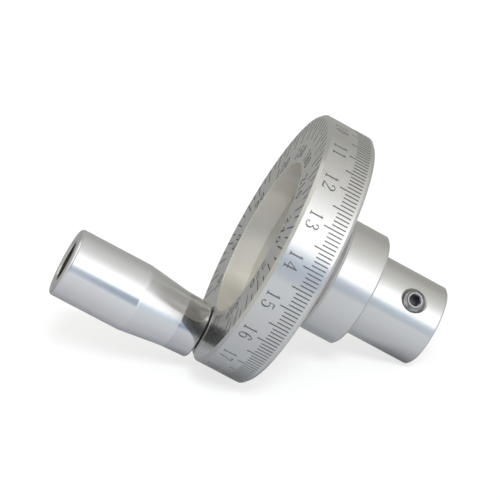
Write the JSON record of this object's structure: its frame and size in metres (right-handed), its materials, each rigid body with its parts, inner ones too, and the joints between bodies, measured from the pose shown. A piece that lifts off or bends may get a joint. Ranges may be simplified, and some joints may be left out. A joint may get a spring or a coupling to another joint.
{
  "type": "graduated handwheel",
  "caption": "Turned aluminium handwheel with engraved scales on rim and face, a round recess, a collar and a hub with a clamping set screw behind a short neck, and a revolving turned grip.",
  "frame": {"origin": "centre of the bore at the small hub's end face", "axes": "+Z along the bore axis, from the hub towards the graduated face and the grip; -X towards the grip"},
  "size_m": [0.0856, 0.08, 0.1008],
  "materials": {
    "wheel": "satin, turned and anodised",
    "set_screw": "bare steel",
    "handle_sleeve": "fine turned and polished",
    "handle_spindle": "bare steel"
  },
  "bodies": {
    "wheel": {"wheel": "wheel", "set_screw": "set_screw", "handle_spindle": "handle_spindle"},
    "handle": {"handle_sleeve": "handle_sleeve"}
  },
  "joints": [
    {"name": "handle_spin", "type": "hinge", "parent": "wheel", "child": "handle", "pos_m": [-0.035, 0, 0.0566], "axis": [0, 0, 1], "continuous": true}
  ]
}
